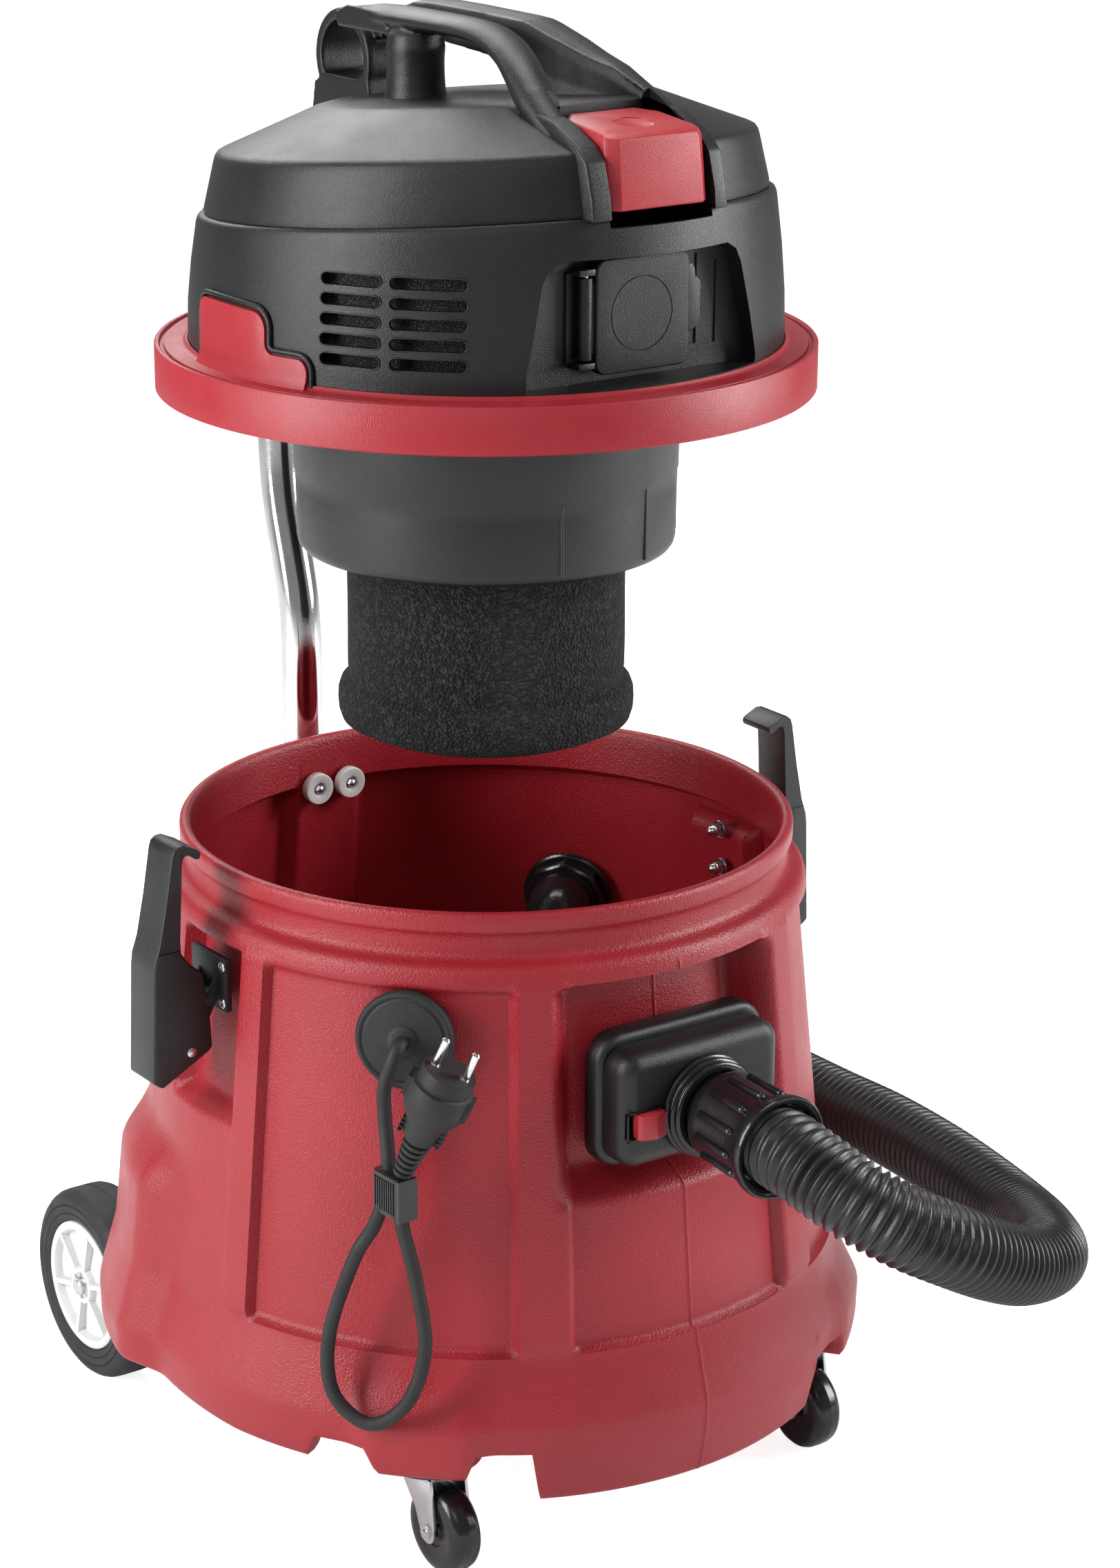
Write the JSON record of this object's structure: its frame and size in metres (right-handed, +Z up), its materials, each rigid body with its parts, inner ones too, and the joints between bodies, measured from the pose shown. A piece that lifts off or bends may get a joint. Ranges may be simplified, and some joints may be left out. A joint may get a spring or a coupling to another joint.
{
  "type": "shop vacuum",
  "caption": "Wet shop vacuum on wheels with lift-off motor head, side latches, push handle, drain hose and a built-in pump whose lead plugs into the head.",
  "frame": {"origin": "centre of the machine's footprint on the floor, measured on its bounding box without hose, lead and plug", "axes": "+Z up; front at -Y, where the hose holder is; the drain hose runs round the +X side and the pump lead comes out on the -X side"},
  "size_m": [0.5487, 0.6664, 0.9124],
  "materials": {
    "red_polyethylene": "moulded, fine grain, satin",
    "red_abs": "satin moulded",
    "black_plastic": "moulded, fine grain",
    "black_rubber": "matte",
    "black_foam": "open-cell foam",
    "chromed_steel": "polished",
    "zinc_plated_steel": "zinc plated",
    "white_plastic": "moulded",
    "motor_metal": "bare"
  },
  "bodies": {
    "tank": {"tank_shell": "red_polyethylene", "cable_grommet": "black_rubber", "inlet_backplate": "black_plastic", "inlet_housing": "black_plastic", "inlet_collar": "black_plastic", "latch_bracket_left": "black_plastic", "latch_bracket_right": "black_plastic", "latch_pin_left": "zinc_plated_steel", "latch_pin_right": "zinc_plated_steel", "push_handle_tube": "chromed_steel", "push_handle_grip": "black_rubber", "handle_clamp": "black_plastic", "clamp_spacer_left": "white_plastic", "clamp_spacer_right": "white_plastic", "rear_axle": "zinc_plated_steel", "castor_plate_left": "black_plastic", "castor_plate_right": "black_plastic", "pump_strainer": "black_plastic", "pump_housing": "black_plastic", "outlet_nut": "black_plastic", "outlet_elbow": "black_plastic", "pump_riser_hose": "black_rubber", "hose_cuff": "black_plastic", "hose_elbow": "black_plastic", "drain_hose": "black_plastic", "pump_cable": "black_rubber", "pump_plug": "black_rubber"},
    "slider": {"inlet_slider": "red_abs"},
    "latch_left": {"latch_lever_left": "black_plastic"},
    "latch_right": {"latch_lever_right": "black_plastic"},
    "wheel_left": {"rear_hub_left": "white_plastic", "rear_tyre_left": "black_rubber"},
    "wheel_right": {"rear_hub_right": "white_plastic", "rear_tyre_right": "black_rubber"},
    "castor_left": {"castor_fork_left": "zinc_plated_steel"},
    "castor_roller_left": {"castor_wheel_left": "black_plastic"},
    "castor_right": {"castor_fork_right": "zinc_plated_steel"},
    "castor_roller_right": {"castor_wheel_right": "black_plastic"},
    "impeller": {"pump_impeller": "motor_metal"},
    "motor_head": {"head_base": "red_polyethylene", "rim_seal": "black_rubber", "head_lower_shell": "black_plastic", "vent_foam": "black_foam", "head_upper_shell": "black_plastic", "switch_block": "black_plastic", "carry_handle": "black_plastic", "hose_rest": "black_plastic", "socket_plate": "black_plastic", "lid_pin": "zinc_plated_steel", "motor_pot": "black_plastic", "fan_case": "motor_metal", "motor_stator": "motor_metal", "bearing_bracket": "black_plastic", "filter_cage": "black_plastic", "foam_filter": "black_foam", "mains_gland": "black_rubber"},
    "button": {"switch_button": "red_abs"},
    "lid": {"socket_lid": "black_plastic"},
    "rotor": {"motor_rotor": "motor_metal"},
    "float": {"float_ball": "white_plastic"}
  },
  "joints": [
    {"name": "head_lift", "type": "slide", "parent": "tank", "child": "motor_head", "axis": [0, 0, 1], "range_m": [-0.2979, 0]},
    {"name": "latch_left_hinge", "type": "hinge", "parent": "tank", "child": "latch_left", "pos_m": [-0.225, -0.0135, 0.3096], "axis": [0, 1, 0], "range_deg": [0, 11]},
    {"name": "latch_right_hinge", "type": "hinge", "parent": "tank", "child": "latch_right", "pos_m": [0.225, -0.0135, 0.3096], "axis": [0, -1, 0], "range_deg": [0, 11]},
    {"name": "castor_left_swivel", "type": "hinge", "parent": "tank", "child": "castor_left", "pos_m": [-0.14, -0.1565, 0.06], "axis": [0, 0, 1], "continuous": true},
    {"name": "castor_right_swivel", "type": "hinge", "parent": "tank", "child": "castor_right", "pos_m": [0.14, -0.1565, 0.06], "axis": [0, 0, 1], "continuous": true},
    {"name": "castor_left_spin", "type": "hinge", "parent": "castor_left", "child": "castor_roller_left", "pos_m": [-0.14, -0.1735, 0.028], "axis": [1, 0, 0], "continuous": true},
    {"name": "castor_right_spin", "type": "hinge", "parent": "castor_right", "child": "castor_roller_right", "pos_m": [0.14, -0.1735, 0.028], "axis": [1, 0, 0], "continuous": true},
    {"name": "wheel_left_spin", "type": "hinge", "parent": "tank", "child": "wheel_left", "pos_m": [-0.199, 0.1765, 0.065], "axis": [1, 0, 0], "continuous": true},
    {"name": "wheel_right_spin", "type": "hinge", "parent": "tank", "child": "wheel_right", "pos_m": [0.199, 0.1765, 0.065], "axis": [1, 0, 0], "continuous": true},
    {"name": "slider_slide", "type": "slide", "parent": "tank", "child": "slider", "axis": [-1, 0, 0], "range_m": [0, 0.004], "stiffness_N_per_m": 500, "springref_m": -0.002},
    {"name": "pump_spin", "type": "hinge", "parent": "tank", "child": "impeller", "pos_m": [0.10414, 0.07083, 0.1326], "axis": [0, 0, 1], "continuous": true},
    {"name": "button_slide", "type": "slide", "parent": "motor_head", "child": "button", "axis": [0, 0, -1], "range_m": [0, 0.006], "stiffness_N_per_m": 500, "springref_m": -0.004},
    {"name": "lid_hinge", "type": "hinge", "parent": "motor_head", "child": "lid", "pos_m": [-0.0405, -0.1697, 0.76], "axis": [0, 0, -1], "range_deg": [0, 110], "stiffness_Nm_per_rad": 0.02, "springref_deg": -22.92},
    {"name": "motor_spin", "type": "hinge", "parent": "motor_head", "child": "rotor", "pos_m": [0, -0.0135, 0.6], "axis": [0, 0, 1], "continuous": true},
    {"name": "float_rise", "type": "slide", "parent": "motor_head", "child": "float", "axis": [0, 0, 1], "range_m": [0, 0.014]}
  ]
}
